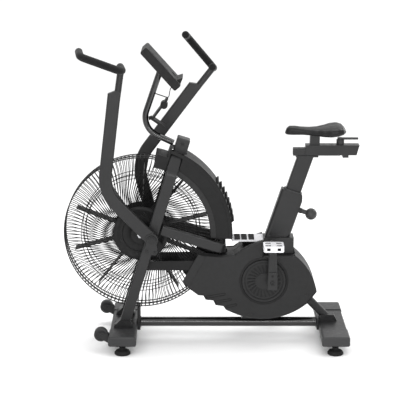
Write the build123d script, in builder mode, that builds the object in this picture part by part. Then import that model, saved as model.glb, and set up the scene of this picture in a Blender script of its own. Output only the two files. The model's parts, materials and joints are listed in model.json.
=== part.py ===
"""Air bike: fan cage in front, swinging arms at the sides, crank, saddle post behind.

Millimetres. X runs from the fan (-X) to the saddle (+X), Z is up, the floor is Z = 0.
The rider's left is -Y. The left crank is up and the left arm is forward at rest.
"""
import os
from math import atan2, cos, degrees, hypot, radians, sin, tan

from build123d import *

os.makedirs("parts", exist_ok=True)

# ---------------------------------------------------------------- driving dimensions
WALL = 2.5                  # wall of the steel box tubes
FIT = 0.05                  # radial running clearance of a shaft
GAP = 0.4                   # clearance between faces of different bodies
LEFT, RIGHT = -1, 1         # the two sides, as the sign of Y

FAN = (-308.0, 497.0)       # X, Z of the fan axle
CAGE_R = 340.0              # outer radius of the guard
CAGE_HALF = 52.0            # half the guard's width
HUB_PLATE_R = 118.0
BLADES = 10

CRANK = (271.0, 292.0)      # X, Z of the crank axle
CRANK_LEN = 175.0
CRANK_Y = 106.0             # inner face of a crank arm
CRANK_T = 20.0

PULLEY_Y = (61.5, 71.0)     # the drive runs on the rider's right
FAN_PULLEY_R = 15.0
CRANK_PULLEY_R = 48.0
BELT_T = 3.0

PIVOT = (-256.0, 494.0)     # X, Z of the arm pivots
SIDE_Y = 92.0               # middle plane of the side frames
SIDE_T = 30.0               # their thickness
SIDE_W = 50.0
AXLE_Y = (73.0, 77.0)       # the plates between guard and side frames
ARM_Y = 142.0               # middle plane of the swinging arms
ARM_T = 30.0
ARM_W = 55.0
ARM_SWING = 30.0            # degrees between the two ends of the stroke

STAB_X = (-385.0, 543.0)    # front and rear stabiliser
STAB_W = 122.0
STAB_HALF = 258.0
STAB_Z = (41.0, 86.0)
CAP_LEN = 118.0
CAP_ROUND = 7.0
STAB_TUBE_TOP = STAB_Z[1] - 3   # the steel tube between the end caps
STAB_TUBE_HALF = STAB_W / 2 - 3
RAIL_Z = 74.0
RAIL_R = 21.5

SEAT_LEAN = 18.5            # degrees from the vertical
SEAT_TOP = (362.0, 676.0)   # where the seat tube's axis meets its top
SLIDE_Z = (842.0, 886.0)    # the saddle rail
SLIDE_X = (414.0, 648.0)

MAST_TOP = (-162.0, 800.0)
DISC = (235.0, 288.0)       # centre of the round vent in the cover
CONSOLE = (-215.0, 1228.0)  # middle of the display
CONSOLE_LEN = 222.0
CONSOLE_WIDE = 190.0
CONSOLE_T = 38.0

FOOT_Y = 228.0
WHEEL = (-479.0, 82.0)
WHEEL_Y = 200.0
WHEEL_R = 30.0


# ---------------------------------------------------------------- helpers
def at(point, y):
    """A point of the side view, placed at Y = y."""
    return Vector(point[0], y, point[1])


def side_plane(y):
    """The side view's plane at Y = y: local x is X, local y is Z, and it faces -Y."""
    return Plane(origin=(0, y, 0), x_dir=(1, 0, 0), z_dir=(0, -1, 0))


def along(point, angle, distance):
    """A point of the side view, moved at an angle above +X."""
    return (point[0] + distance * cos(radians(angle)), point[1] + distance * sin(radians(angle)))


def plate(points, y_low, y_high, radius=0.0, mode=Mode.ADD):
    """A flat plate with a side-view outline, between two values of Y."""
    with BuildSketch(side_plane(y_high)) as outline:
        with BuildLine():
            Polyline(*points, close=True)
        make_face()
        if radius:
            fillet(outline.vertices(), radius)
    extrude(outline.sketch, amount=y_high - y_low, mode=mode)


def disc(centre, radius, y_low, y_high, mode=Mode.ADD):
    """A round slab or pin across the bike."""
    with BuildSketch(side_plane(y_high)) as outline:
        with Locations(centre):
            Circle(radius)
    extrude(outline.sketch, amount=y_high - y_low, mode=mode)


def ring(centre, outer, inner, y_low, y_high, mode=Mode.ADD):
    """A sleeve, collar or bearing across the bike."""
    with BuildSketch(side_plane(y_high)) as outline:
        with Locations(centre):
            Circle(outer)
            Circle(inner, mode=Mode.SUBTRACT)
    extrude(outline.sketch, amount=y_high - y_low, mode=mode)


def box_tube(start, end, wide, deep, wall=WALL, corner=5.0, across=(0, 1, 0)):
    """A straight box tube; deep is its size along across, wide the other way."""
    axis = Vector(end) - Vector(start)
    with BuildSketch(Plane(origin=start, x_dir=across, z_dir=axis)) as section:
        RectangleRounded(deep, wide, corner)
        if wall:
            RectangleRounded(deep - 2 * wall, wide - 2 * wall, corner - wall + 0.5, mode=Mode.SUBTRACT)
    extrude(section.sketch, amount=axis.length)


def round_bar(start, end, radius, inner=0.0, mode=Mode.ADD):
    """A straight round bar or tube."""
    axis = Vector(end) - Vector(start)
    with BuildSketch(Plane(origin=start, z_dir=axis)) as section:
        Circle(radius)
        if inner:
            Circle(inner, mode=Mode.SUBTRACT)
    extrude(section.sketch, amount=axis.length, mode=mode)


def finish(builder, name):
    """Label a sub-part and write its file."""
    builder.part.label = name
    export_step(builder.part, f"parts/{name}.step")


# ---------------------------------------------------------------- base
FRONT, REAR = STAB_X
STAB_NAMES = ("front_stabiliser", "rear_stabiliser")
for name, x in zip(STAB_NAMES, STAB_X):
    with BuildPart() as stabiliser:
        mid_z = sum(STAB_Z) / 2
        reach = STAB_HALF - 8
        box_tube((x, -reach, mid_z), (x, reach, mid_z), STAB_Z[1] - STAB_Z[0] - 6, STAB_W - 6,
                 corner=6, across=(1, 0, 0))
        for side in (LEFT, RIGHT):
            round_bar((x, side * FOOT_Y, STAB_Z[0] + 3), (x, side * FOOT_Y, STAB_Z[0] + 20), 10)
            round_bar((x, side * FOOT_Y, STAB_Z[0]), (x, side * FOOT_Y, STAB_Z[0] + 21), 5.3,
                      mode=Mode.SUBTRACT)
    finish(stabiliser, name)

# Plastic end caps slide over both ends of each stabiliser.
with BuildPart() as caps:
    for x in STAB_X:
        for side in (LEFT, RIGHT):
            inner_end = side * (STAB_HALF - CAP_LEN)
            with BuildSketch(Plane.XZ.offset(-inner_end)) as section:
                with Locations((x, sum(STAB_Z) / 2)):
                    RectangleRounded(STAB_W, STAB_Z[1] - STAB_Z[0], 9)
            extrude(section.sketch, amount=-side * CAP_LEN)
            end_face = caps.faces().filter_by(Axis.Y).sort_by(lambda f: abs(f.center().Y - side * STAB_HALF)
                                                              + abs(f.center().X - x))[0]
            fillet(end_face.outer_wire().edges(), CAP_ROUND)
            with BuildSketch(Plane.XZ.offset(-inner_end)) as hollow:
                with Locations((x, sum(STAB_Z) / 2)):
                    RectangleRounded(STAB_W - 5.6, STAB_Z[1] - STAB_Z[0] - 5.6, 6.2)
            extrude(hollow.sketch, amount=-side * (CAP_LEN - 7.6), mode=Mode.SUBTRACT)
            round_bar((x, side * FOOT_Y, STAB_Z[0] - 1), (x, side * FOOT_Y, STAB_Z[0] + 5), 14,
                      mode=Mode.SUBTRACT)
finish(caps, "stabiliser_caps")

# Levelling feet: a domed rubber-faced pad on a threaded stem.
FOOT_NAMES = {"foot_front_left": (FRONT, LEFT), "foot_front_right": (FRONT, RIGHT),
              "foot_rear_left": (REAR, LEFT), "foot_rear_right": (REAR, RIGHT)}
for name, (x, side) in FOOT_NAMES.items():
    with BuildPart() as foot:
        with BuildSketch(Plane(origin=(x, side * FOOT_Y, 0), x_dir=(1, 0, 0), z_dir=(0, -1, 0))) as half:
            with BuildLine():
                Polyline((0, 0), (32, 0), (35, 3), (35, 9), (29, 17), (17, 22), (14, 25), (14, 34),
                         (5.25, 34), (5.25, 58), (0, 58), close=True)
            make_face()
        revolve(half.sketch, axis=Axis((x, side * FOOT_Y, 0), (0, 0, 1)))
    finish(foot, name)

with BuildPart() as floor_rail:
    round_bar((FRONT + 71, 0, RAIL_Z), (REAR - 67, 0, RAIL_Z), RAIL_R, RAIL_R - WALL)
finish(floor_rail, "floor_rail")

# End plates that carry the rail on the stabilisers, and the cradle under the main frame.
with BuildPart() as base_brackets:
    near, far = FRONT + STAB_TUBE_HALF + 0.1, FRONT + 70.8
    plate([(near, 46), (far, 46), (far, 150), (near, 150)], -38, 38)
    near, far = REAR - STAB_TUBE_HALF - 0.1, REAR - 66.8
    plate([(far, 46), (near, 46), (near, 98), (far, 98)], -36, 36)
    plate([(138, 96.2), (250, 96.2), (236, 118), (152, 118)], -26, 26)

    # Fork plates and stub axles of the two transport wheels.
    for side in (LEFT, RIGHT):
        wheel_y = side * WHEEL_Y
        for edge in (-1, 1):
            inner = wheel_y + edge * 16.5
            outer = wheel_y + edge * 19.5
            low, high = min(inner, outer), max(inner, outer)
            plate([(FRONT - 61.2, 46), (FRONT - 61.2, 84), (WHEEL[0] + 8, 96), (WHEEL[0] - 12, 92),
                   (WHEEL[0] - 14, 74), (WHEEL[0] - 4, 68)], low, high)
        disc(WHEEL, 5, wheel_y - 22, wheel_y + 22)
finish(base_brackets, "base_brackets")

for name, side in (("left_wheel", LEFT), ("right_wheel", RIGHT)):
    with BuildPart() as wheel:
        wheel_y = side * WHEEL_Y
        disc(WHEEL, WHEEL_R, wheel_y - 15, wheel_y + 15)
        for edge in (-1, 1):
            rim = wheel_y + edge * 15
            floor = wheel_y + edge * 11
            ring(WHEEL, WHEEL_R - 8, 11, min(rim, floor), max(rim, floor), mode=Mode.SUBTRACT)
        fillet(wheel.edges().filter_by(GeomType.CIRCLE).filter_by(
            lambda e: abs(e.radius - WHEEL_R) < 0.1), 3)
        disc(WHEEL, 5 + FIT, wheel_y - 16, wheel_y + 16, mode=Mode.SUBTRACT)
    finish(wheel, name)

# ---------------------------------------------------------------- side frames
STRUT_FOOT = (FRONT, STAB_Z[1] + 0.2)
LEAN = degrees(atan2(MAST_TOP[1] - STRUT_FOOT[1], MAST_TOP[0] - STRUT_FOOT[0]))
SPAN = hypot(MAST_TOP[1] - STRUT_FOOT[1], MAST_TOP[0] - STRUT_FOOT[0])
JOIN = 400.0                # distance up the lean where strut and mast meet

with BuildPart() as struts:
    for side in (LEFT, RIGHT):
        low = along(STRUT_FOOT, LEAN, 12)
        box_tube(at(low, side * SIDE_Y), at(along(STRUT_FOOT, LEAN, JOIN), side * SIDE_Y), SIDE_W - 4, SIDE_T)
        foot_low, foot_high = side * SIDE_Y - 28, side * SIDE_Y + 28
        sole = STAB_TUBE_TOP + 0.1
        plate([(FRONT - 42, sole), (FRONT + 42, sole), (FRONT + 42, STAB_Z[1] + 6),
               (FRONT + 28, STAB_Z[1] + 30), (FRONT - 16, STAB_Z[1] + 30), (FRONT - 42, STAB_Z[1] + 6)],
              foot_low, foot_high)
finish(struts, "struts")

HEAD_IN = 33.0              # half width of the head block
with BuildPart() as masts:
    for side in (LEFT, RIGHT):
        y = side * SIDE_Y
        low = at(along(STRUT_FOOT, LEAN, JOIN + 0.2), y)
        bend = at(along(STRUT_FOOT, LEAN, SPAN - 30), y)
        top = at(along(STRUT_FOOT, LEAN, SPAN + 38), side * (HEAD_IN + 19))
        axis = bend - low
        with BuildLine() as route:
            FilletPolyline(low, bend, top, radius=45)
        with BuildSketch(Plane(origin=low, x_dir=(0, 1, 0), z_dir=axis)) as section:
            RectangleRounded(SIDE_T, SIDE_W, 5)
            RectangleRounded(SIDE_T - 2 * WALL, SIDE_W - 2 * WALL, 3, mode=Mode.SUBTRACT)
        sweep(section.sketch, path=route.wire())
finish(masts, "masts")

# Rear tubes run back from the masts, then turn in to the main frame behind the guard.
REAR_START = (-214.0, 522.0)
COLUMN_HALF = 30.0          # half width of the main frame's column
REAR_TURN = (48.0, 440.0)
with BuildPart() as rear_tubes:
    for side in (LEFT, RIGHT):
        start = at(REAR_START, side * SIDE_Y)
        turn = at(REAR_TURN, side * SIDE_Y)
        stop = Vector(REAR_TURN[0], side * (COLUMN_HALF + 0.3), REAR_TURN[1])
        with BuildLine() as route:
            FilletPolyline(start, turn, stop, radius=24)
        with BuildSketch(Plane(origin=start, x_dir=(0, 1, 0), z_dir=turn - start)) as section:
            RectangleRounded(SIDE_T - 2, 44, 6)
            RectangleRounded(SIDE_T - 2 - 2 * WALL, 44 - 2 * WALL, 4, mode=Mode.SUBTRACT)
        sweep(section.sketch, path=route.wire())
finish(rear_tubes, "rear_tubes")

# Side plates: lower stays run back beside the guard, and lugs carry the fan axle.
with BuildPart() as side_plates:
    for side in (LEFT, RIGHT):
        low, high = sorted((side * AXLE_Y[0], side * AXLE_Y[1]))
        plate([(-318, 335), (84, 335), (84, 381), (-318, 375)], low, high)
        box_tube((70, side * (AXLE_Y[0] + 0.1), 358), (70, side * (COLUMN_HALF + 0.2), 358), 34, 26,
                 wall=2, across=(1, 0, 0))
        with BuildSketch(side_plane(high)) as outline:
            with Locations(FAN):
                Circle(40)
            with Locations(along(FAN, -38, 84)):
                Circle(28)
            make_hull()
            with Locations(FAN):
                Circle(8.5, mode=Mode.SUBTRACT)
        extrude(outline.sketch, amount=high - low)
finish(side_plates, "side_plates")

# Head block on top of the two masts; the console tube is clamped in its front.
HEAD = (-131.0, 868.0)
with BuildPart() as head_block:
    tilt = LEAN - 90
    with BuildSketch(side_plane(HEAD_IN)) as outline:
        with Locations(HEAD):
            RectangleRounded(58, 100, 7, rotation=tilt)
    extrude(outline.sketch, amount=2 * HEAD_IN)
    chamfer(head_block.faces().sort_by(Axis.Y)[0].edges() + head_block.faces().sort_by(Axis.Y)[-1].edges(), 4)
finish(head_block, "head_block")

# ---------------------------------------------------------------- fan and its guard
HUB_HOLE = 19.0             # the hub's nose passes through it
HUB_Y = 58.0                # outer face of a guard's hub plate
WIRE = 3.2
SPOKES = 36

for name, side in (("left_cage", LEFT), ("right_cage", RIGHT)):
    with BuildPart() as cage:
        low, high = sorted((side * (CAGE_HALF - WIRE), side * CAGE_HALF))
        with BuildSketch(side_plane(high)) as grille:
            with Locations(FAN):
                Circle(CAGE_R)
                Circle(CAGE_R - 8, mode=Mode.SUBTRACT)
                Circle(CAGE_R - 92)
                Circle(CAGE_R - 96, mode=Mode.SUBTRACT)
                Circle(HUB_PLATE_R + 4)
            with Locations(FAN):
                with PolarLocations((CAGE_R + HUB_PLATE_R) / 2, SPOKES):
                    Rectangle(CAGE_R - HUB_PLATE_R - 4, WIRE)
            with Locations(FAN):
                Circle(HUB_HOLE, mode=Mode.SUBTRACT)
        extrude(grille.sketch, amount=WIRE)
        low, high = sorted((side * CAGE_HALF, side * HUB_Y))
        ring(FAN, HUB_PLATE_R, HUB_HOLE, low, high)
        low, high = sorted((side * 0.4, side * (CAGE_HALF - WIRE)))
        with BuildSketch(side_plane(high)) as bars:
            with Locations(FAN):
                with PolarLocations(CAGE_R - 4, SPOKES):
                    Circle(2.5)
        extrude(bars.sketch, amount=high - low)
    finish(cage, name)

with BuildPart() as fan_axle:
    disc(FAN, 8.5, -90, 90)
    for side in (LEFT, RIGHT):
        low, high = sorted((side * (AXLE_Y[1] + 0.1), side * (AXLE_Y[1] + 9)))
        with BuildSketch(side_plane(high)) as nut:
            with Locations(FAN):
                RegularPolygon(14, 6)
        extrude(nut.sketch, amount=high - low)
finish(fan_axle, "fan_axle")

BEARING_R = 17.5
BEARING_T = 10.0
FAN_BEARING_Y = 24.0
with BuildPart() as bearings:
    for side in (LEFT, RIGHT):
        for centre, y, bore in ((FAN, FAN_BEARING_Y, 8.5), (CRANK, 24.0, 8.5 + FIT)):
            low, high = sorted((side * (y - BEARING_T), side * y))
            ring(centre, BEARING_R, bore, low, high)
finish(bearings, "bearings")

with BuildPart() as fan_hub:
    ring(FAN, 26, BEARING_R + FIT, -29, 29)
    ring(FAN, BEARING_R + FIT, 10.5, -13.5, 13.5)
    ring(FAN, 26, 10.5, 24.5, 29)
    ring(FAN, 14.5, 10.5, 29, PULLEY_Y[0] - 0.1)
    for side in (LEFT, RIGHT):
        low, high = sorted((side * 20, side * 24))
        ring(FAN, 58, 26, low, high)
finish(fan_hub, "fan_hub")

# Ten flat paddles on a disc that is bolted between the hub's flanges.
PADDLE_HALF = 36.0
with BuildPart() as fan_blades:
    with BuildSketch(side_plane(PADDLE_HALF)) as paddles:
        with Locations(FAN):
            with PolarLocations(200, BLADES, start_angle=15):
                Rectangle(204, 3)
    extrude(paddles.sketch, amount=2 * PADDLE_HALF)
    with BuildSketch(side_plane(19.8)) as disc_and_arms:
        with Locations(FAN):
            with PolarLocations(75, BLADES, start_angle=15):
                Rectangle(98, 6)
            Circle(58)
            Circle(26.2, mode=Mode.SUBTRACT)
    extrude(disc_and_arms.sketch, amount=39.6)
finish(fan_blades, "fan_blades")

with BuildPart() as fan_pulley:
    ring(FAN, FAN_PULLEY_R, 10.5, *PULLEY_Y)
    ring(FAN, FAN_PULLEY_R + 4, 10.5, PULLEY_Y[1], PULLEY_Y[1] + 1.4)
finish(fan_pulley, "fan_pulley")

with BuildPart() as drive_pulley:
    ring(CRANK, CRANK_PULLEY_R, CRANK_PULLEY_R - 8, *PULLEY_Y)
    ring(CRANK, 18, 8.5, *PULLEY_Y)
    with BuildSketch(side_plane(PULLEY_Y[1] - 4)) as web:
        with Locations(CRANK):
            with PolarLocations(29, 5):
                Rectangle(26, 9)
    extrude(web.sketch, amount=6)
finish(drive_pulley, "drive_pulley")

with BuildPart() as drive_belt:
    with BuildSketch(side_plane(PULLEY_Y[1] - 1)) as loop:
        with Locations(CRANK):
            Circle(CRANK_PULLEY_R + GAP + BELT_T)
        with Locations(FAN):
            Circle(FAN_PULLEY_R + GAP + BELT_T)
        make_hull()
    extrude(loop.sketch, amount=PULLEY_Y[1] - PULLEY_Y[0] - 2)
    with BuildSketch(side_plane(PULLEY_Y[1])) as inside:
        with Locations(CRANK):
            Circle(CRANK_PULLEY_R + GAP)
        with Locations(FAN):
            Circle(FAN_PULLEY_R + GAP)
        make_hull()
    extrude(inside.sketch, amount=PULLEY_Y[1] - PULLEY_Y[0], mode=Mode.SUBTRACT)
finish(drive_belt, "drive_belt")

# Shroud: a channel that closes over the rear of the guard, with a toothed vent at its back.
SHROUD_R = 404.0
SHROUD_IN = 306.0
SHROUD_Y = 74.0
SHROUD_FRONT_R = 366.0      # the lower part of it in front of the head block
SHROUD_ARC = (-3.0, 79.0)
FRONT_CUT = 71.0            # angle where the shroud steps down to its lower part
VENT_TEETH = 8
VENT_START = 8.0
VENT_STEP = 3.7


def sector(outer, inner, y, mode=Mode.ADD):
    """The part of a ring that the shroud's arc keeps."""
    with BuildSketch(side_plane(y)) as outline:
        with Locations(FAN):
            Circle(outer)
            Circle(inner, mode=Mode.SUBTRACT)
        with BuildLine():
            corners = [along(FAN, angle, 620) for angle in (SHROUD_ARC[0], 38, SHROUD_ARC[1])]
            Polyline(FAN, *corners, close=True)
        make_face(mode=Mode.INTERSECT)
    extrude(outline.sketch, amount=2 * y, mode=mode)


with BuildPart() as fan_shroud:
    sector(SHROUD_R, SHROUD_IN, SHROUD_Y)
    sector(SHROUD_R - 3, SHROUD_IN - 5, SHROUD_Y - 3, mode=Mode.SUBTRACT)
    with BuildSketch(side_plane(SHROUD_Y + 1)) as front_cut:
        with BuildLine():
            Polyline(along(FAN, FRONT_CUT, 300), along(FAN, FRONT_CUT, 460), along(FAN, 90, 460),
                     along(FAN, 90, 300), close=True)
        make_face()
        with Locations(FAN):
            Circle(SHROUD_FRONT_R, mode=Mode.SUBTRACT)
    extrude(front_cut.sketch, amount=2 * SHROUD_Y + 2, mode=Mode.SUBTRACT)
    with BuildSketch(side_plane(SHROUD_Y - 1)) as front_wall:
        with Locations(FAN):
            Circle(SHROUD_FRONT_R)
            Circle(SHROUD_FRONT_R - 3, mode=Mode.SUBTRACT)
        with BuildLine():
            Polyline(FAN, along(FAN, FRONT_CUT - 1, 460), along(FAN, SHROUD_ARC[1], 460), close=True)
        make_face(mode=Mode.INTERSECT)
    extrude(front_wall.sketch, amount=2 * (SHROUD_Y - 1))
    step = [along(FAN, angle, reach) for angle, reach in
            ((FRONT_CUT, SHROUD_FRONT_R - 3), (FRONT_CUT, SHROUD_R - 2),
             (FRONT_CUT - 0.5, SHROUD_R - 2), (FRONT_CUT - 0.5, SHROUD_FRONT_R - 3))]
    plate(step, 1 - SHROUD_Y, SHROUD_Y - 1)
    notch = [along(HEAD, LEAN - 90 + a, r) for a, r in ((60, 60), (120, 60), (-122, 62), (-58, 62))]
    plate(notch, -HEAD_IN - 1, HEAD_IN + 1, mode=Mode.SUBTRACT)
    bend = along(STRUT_FOOT, LEAN, SPAN - 62)
    groove = [along(bend, LEAN - 90, 28), along(bend, LEAN + 90, 28)]
    groove += [along(groove[1], LEAN, 150), along(groove[0], LEAN, 150)]
    for side in (LEFT, RIGHT):
        low, high = sorted((side * (HEAD_IN + 0.9), side * 80))
        plate(groove, low, high, mode=Mode.SUBTRACT)
    for turn in range(VENT_TEETH):
        angle = VENT_START + VENT_STEP * turn
        tooth = along(FAN, angle, SHROUD_R + 3)
        with BuildSketch(side_plane(SHROUD_Y - 16)) as fin:
            with Locations(tooth):
                Rectangle(16, 6, rotation=angle + 24)
        extrude(fin.sketch, amount=2 * (SHROUD_Y - 16))
finish(fan_shroud, "fan_shroud")

# ---------------------------------------------------------------- main frame and covers
COVER_OUT = 84.0            # outer face of a chain cover
COVER_T = 3.0
COVER_SCREWS = ((217.0, 452.0), (425.0, 222.0), (175.0, 132.0))
SCREW_R = 6.0
SEAT_AXIS = 90 - SEAT_LEAN
FOOT_BOX = (232.2, 367.0, 402.0, 474.0)   # X and Z limits of the box under the seat tube
SLEEVE_W, SLEEVE_D = 106.0, 62.0          # seat tube, seen from the side and from behind
POST_W, POST_D = 68.0, 38.0
POST_END = 190.0                          # how far the post reaches below the collar at rest
TUBE_LEN = 270.0

with BuildPart() as main_frame:
    plate([(40, 312), (112, 312), (112, 378), (70, 398), (66, 463), (40, 463)], -COLUMN_HALF, COLUMN_HALF)
    plate([(96, 326), (240, 403), (240, 452), (200, 436), (150, 412), (96, 372)], -25, 25)
    lower_beam = [(112, 340), (100, 320), (190, 118.2), (222, 118.2),
                  (250, 290), (225, 300), (196, 200), (140, 330)]
    plate(lower_beam, -22, 22)
    low_x, high_x, low_z, high_z = FOOT_BOX
    plate([(low_x, low_z), (high_x, low_z), (high_x, high_z), (low_x, high_z)], -41, 41)
    plate([(252, 300), (290, 300), (330, 404), (262, 404)], -22, 22)
    ring(CRANK, 25, BEARING_R, -30, 30)
    disc(CRANK, BEARING_R, -30, 30, mode=Mode.SUBTRACT)
    seat_axis = Vector(cos(radians(SEAT_AXIS)), 0, sin(radians(SEAT_AXIS)))
    bottom = at(SEAT_TOP, 0) - seat_axis * (TUBE_LEN + 32)
    with BuildSketch(Plane(origin=bottom, x_dir=(0, 1, 0), z_dir=seat_axis)) as bore:
        RectangleRounded(SLEEVE_D + 0.2, SLEEVE_W + 0.2, 16)
    extrude(bore.sketch, amount=TUBE_LEN + 80, mode=Mode.SUBTRACT)
finish(main_frame, "main_frame")

STRUT_TOP = Vector(322, 0, 300)
STRUT_LOW = Vector(REAR - 22.5, 0, STAB_TUBE_TOP + 14)
STRUT_R = 19.0
with BuildPart() as rear_strut:
    round_bar(STRUT_TOP, STRUT_LOW, STRUT_R, STRUT_R - 3)
    sole = STAB_TUBE_TOP + 0.1
    plate([(REAR - 58, sole), (REAR + 24, sole), (REAR + 10, STAB_Z[1] + 26),
           (REAR - 48, STAB_Z[1] + 26)], -24, 24)
    plate([(299, 290), (345, 262), (352, 280), (304, 312)], -20, 20)
finish(rear_strut, "rear_strut")

with BuildPart() as step_plate:
    plate([(92, 461.2), (232, 461.2), (232, 467), (92, 467)], -58, 58)
finish(step_plate, "step_plate")

with BuildPart() as step_pads:
    with BuildSketch(Plane.XY.offset(467)) as pads:
        for x in (118, 148, 180):
            with Locations((x, 0)):
                RectangleRounded(25, 92, 4)
    extrude(pads.sketch, amount=3)
finish(step_pads, "step_pads")


def cover_outline():
    """The side-view outline of a chain cover, with three stepped fingers under its front."""
    with BuildSketch(Plane.XY, mode=Mode.PRIVATE) as outline:
        with BuildLine():
            start = (-56, 412)
            front = Polyline(start, (-127, 284), (-109, 261), (-54, 220), (-32, 219), (-22, 200), (12, 196),
                             (22, 175), (57, 170), (68, 153), (118, 131))
            lower = ThreePointArc(front @ 1, (262, 112), (430, 184))
            tip = Line(lower @ 1, (470, 236))
            back = ThreePointArc(tip @ 1, (440, 322), (371, 404))
            rest = Polyline(back @ 1, (368, 400), (234, 400), (232, 471))
            top = ThreePointArc(rest @ 1, (165, 446), (104, 407))
            Polyline(top @ 1, (41, 403), start)
        make_face()
    return outline.sketch


with BuildPart(mode=Mode.PRIVATE) as cover_form:
    outline = cover_outline()
    with BuildSketch(side_plane(-58)) as side_face:
        add(outline)
    extrude(side_face.sketch, amount=COVER_OUT - 58)
    with BuildSketch(side_plane(-2)) as skirt:
        add(outline)
        with Locations((290, 300)):
            Rectangle(480, 260, mode=Mode.INTERSECT)
    extrude(skirt.sketch, amount=56.0)
    outer_edges = cover_form.faces().sort_by(Axis.Y)[0].outer_wire().edges()
    chamfer(outer_edges, 7)
    with BuildSketch(side_plane(1)) as inside:
        offset(outline, amount=-COVER_T, kind=Kind.INTERSECTION)
    extrude(inside.sketch, amount=COVER_OUT - COVER_T - 6, mode=Mode.SUBTRACT)
    with BuildSketch(side_plane(1)) as inside_deep:
        offset(outline, amount=-COVER_T - 7, kind=Kind.INTERSECTION)
    extrude(inside_deep.sketch, amount=COVER_OUT - COVER_T + 1, mode=Mode.SUBTRACT)
    # the frame's column, leg and seat foot pass through the seam
    plate([(38, 390), (74, 390), (74, 480), (38, 480)], -COLUMN_HALF - 1.5, 1, mode=Mode.SUBTRACT)
    plate([(94, 100), (262, 100), (262, 170), (94, 170)], -23.5, 1, mode=Mode.SUBTRACT)
    plate([(228, 390), (374, 390), (374, 470), (228, 470)], -42.5, 1, mode=Mode.SUBTRACT)
    # the front is open for the stay, the axle passes the side, and the rear strut leaves below
    plate([(-150, 250), (-66, 250), (-40, 400), (-150, 400)], -79, 1, mode=Mode.SUBTRACT)
    disc(CRANK, 20, -90, 1, mode=Mode.SUBTRACT)
    disc(DISC, 96, -COVER_OUT - 1, -COVER_OUT + 1.2, mode=Mode.SUBTRACT)
    round_bar(STRUT_TOP, STRUT_LOW, STRUT_R + 2, mode=Mode.SUBTRACT)
    for screw in COVER_SCREWS:
        disc(screw, SCREW_R + 0.1, -COVER_OUT - 1, -COVER_OUT + 2, mode=Mode.SUBTRACT)
cover_solid = cover_form.part
for name, side in (("left_chain_cover", LEFT), ("right_chain_cover", RIGHT)):
    with BuildPart() as cover:
        if side == LEFT:
            add(cover_solid)
        else:
            add(cover_solid.mirror(Plane.XZ))
            # the belt comes in through a slot in the top edge
            plate([(20, 396), (120, 396), (120, 425), (20, 425)], 58, 77, mode=Mode.SUBTRACT)
    finish(cover, name)

# Round vents sit in the covers around the crank axle, a little ahead of it.
with BuildPart() as vent_discs:
    for side in (LEFT, RIGHT):
        face = side * (COVER_OUT - 1.1)
        low, high = sorted((face, side * (COVER_OUT + 4)))
        ring(DISC, 95, 84, low, high)
        low, high = sorted((face, side * (COVER_OUT + 1.5)))
        with BuildSketch(side_plane(high)) as fins:
            with Locations(DISC):
                Circle(84.2)
            with Locations(DISC):
                with PolarLocations(57, 24):
                    Rectangle(34, 5, rotation=12, mode=Mode.SUBTRACT)
            with Locations(CRANK):
                Circle(20, mode=Mode.SUBTRACT)
        extrude(fins.sketch, amount=high - low)
        low, high = sorted((side * (COVER_OUT + 1.4), side * (COVER_OUT + 4)))
        with BuildSketch(side_plane(high)) as cap:
            with Locations(DISC):
                Circle(36)
            with Locations(CRANK):
                Circle(20, mode=Mode.SUBTRACT)
        extrude(cap.sketch, amount=high - low)
finish(vent_discs, "vent_discs")

# ---------------------------------------------------------------- crank and pedals
AXLE_R = 8.5
with BuildPart() as crank_axle:
    disc(CRANK, AXLE_R, -CRANK_Y - CRANK_T + 4, CRANK_Y + CRANK_T - 4)
finish(crank_axle, "crank_axle")

PEDAL_GAP = 6.0
PEDAL_LEN = 84.0
PEDAL_W, PEDAL_T = 88.0, 26.0
SPINDLE_R = 6.0
for name, side in (("left_crank", LEFT), ("right_crank", RIGHT)):
    end = (CRANK[0], CRANK[1] - side * CRANK_LEN)
    low, high = sorted((side * CRANK_Y, side * (CRANK_Y + CRANK_T)))
    with BuildPart() as crank:
        with BuildSketch(side_plane(high)) as outline:
            with Locations(CRANK):
                Circle(23)
            with Locations(end):
                Circle(15)
            make_hull()
        extrude(outline.sketch, amount=CRANK_T)
        outer_face = crank.faces().sort_by(Axis.Y)[0 if side == LEFT else -1]
        chamfer(outer_face.edges(), 4)
        boss_low, boss_high = sorted((side * (COVER_OUT + 8), side * CRANK_Y))
        disc(CRANK, 16, boss_low, boss_high)
        disc(CRANK, AXLE_R, -130, 130, mode=Mode.SUBTRACT)
        disc(end, SPINDLE_R, low - 1, high + 1, mode=Mode.SUBTRACT)
    finish(crank, name)

with BuildPart() as pedal_spindles:
    for side in (LEFT, RIGHT):
        end = (CRANK[0], CRANK[1] - side * CRANK_LEN)
        low, high = sorted((side * (CRANK_Y + 2), side * (CRANK_Y + CRANK_T + PEDAL_GAP + PEDAL_LEN - 8)))
        disc(end, SPINDLE_R, low, high)
        low, high = sorted((side * (CRANK_Y + CRANK_T + 0.1), side * (CRANK_Y + CRANK_T + 4)))
        disc(end, 9, low, high)
finish(pedal_spindles, "pedal_spindles")

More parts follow.
